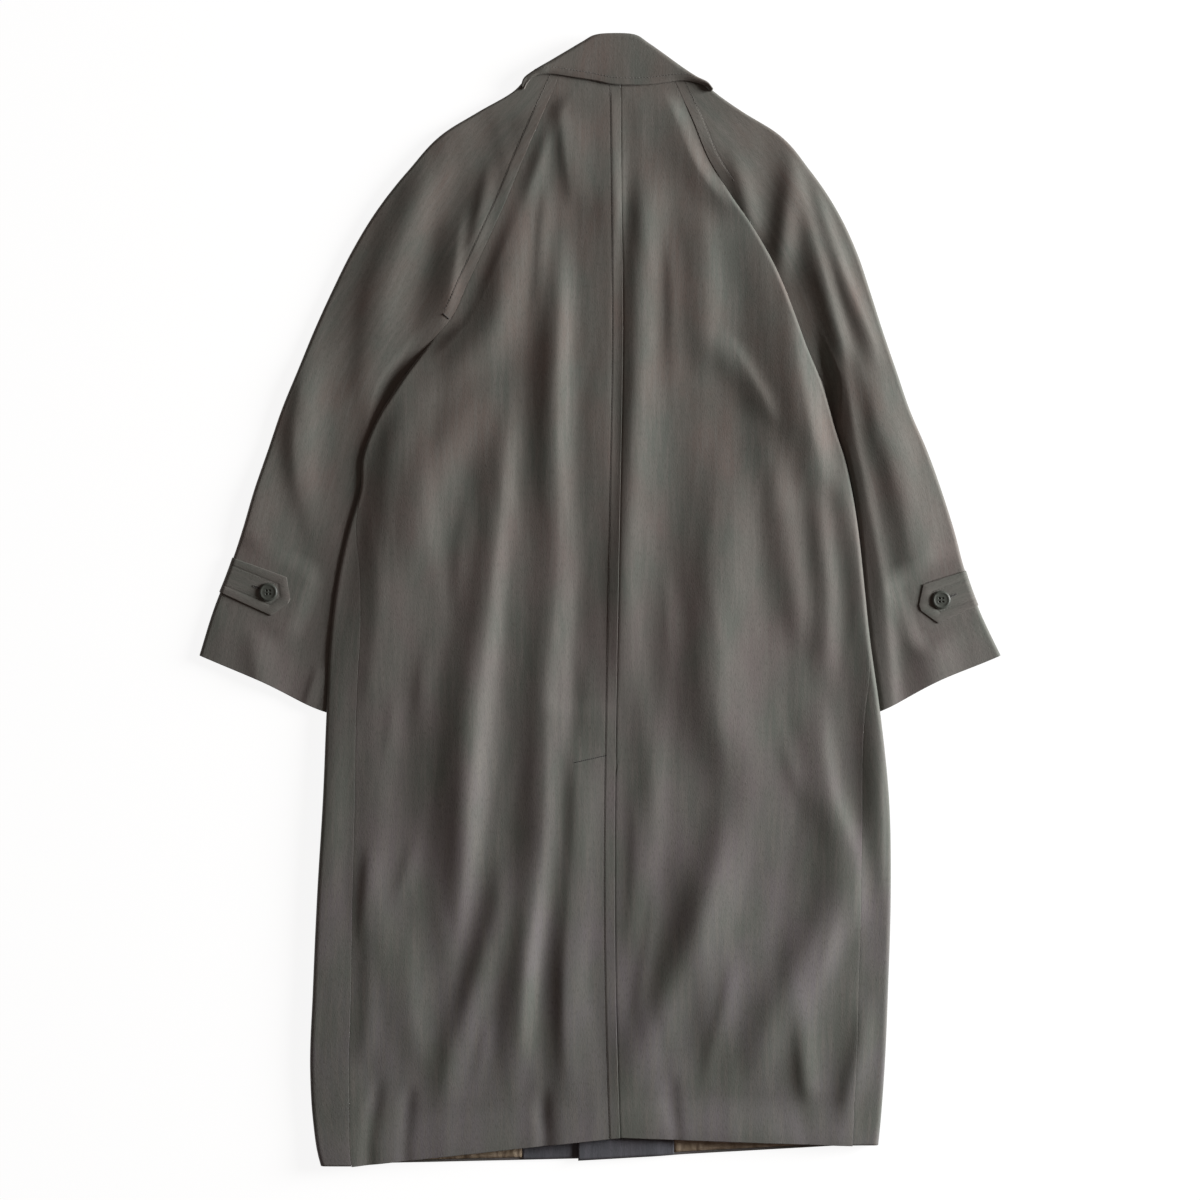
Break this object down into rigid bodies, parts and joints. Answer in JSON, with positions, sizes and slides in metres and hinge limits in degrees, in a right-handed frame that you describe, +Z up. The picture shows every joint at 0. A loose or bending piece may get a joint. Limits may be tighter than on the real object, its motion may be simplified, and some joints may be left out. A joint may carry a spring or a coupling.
{
  "type": "raglan coat",
  "caption": "Loose knee-length raglan coat in grey-green wool gabardine, laid out flat with its back up: turned-down collar, back vent and buttoned cuff tabs.",
  "frame": {"origin": "bottom centre of the coat's bounding box, on the surface it lies on", "axes": "+Z up from the surface, +Y from hem to collar, +X to the wearer's right, the back facing up"},
  "size_m": [0.8824, 1.246, 0.025],
  "materials": {
    "gabardine": "matt grey-green wool gabardine, mottled",
    "facing": "dark blue-grey wool facing",
    "lining": "beige-brown satin lining",
    "button": "dark green-grey, low sheen"
  },
  "bodies": {
    "root": {"back_left": "gabardine", "back_right": "gabardine", "vent_underlap": "gabardine", "front_left": "gabardine", "front_right": "gabardine", "sleeve_back_left": "gabardine", "sleeve_back_right": "gabardine", "sleeve_front_left": "gabardine", "sleeve_front_right": "gabardine", "collar": "gabardine", "collar_point_left": "gabardine", "collar_point_right": "gabardine", "cuff_tab_left": "gabardine", "cuff_tab_right": "gabardine", "facing_left": "facing", "facing_right": "facing", "lining_left": "lining", "lining_right": "lining", "cuff_button_left": "button", "cuff_button_right": "button"}
  },
  "joints": []
}
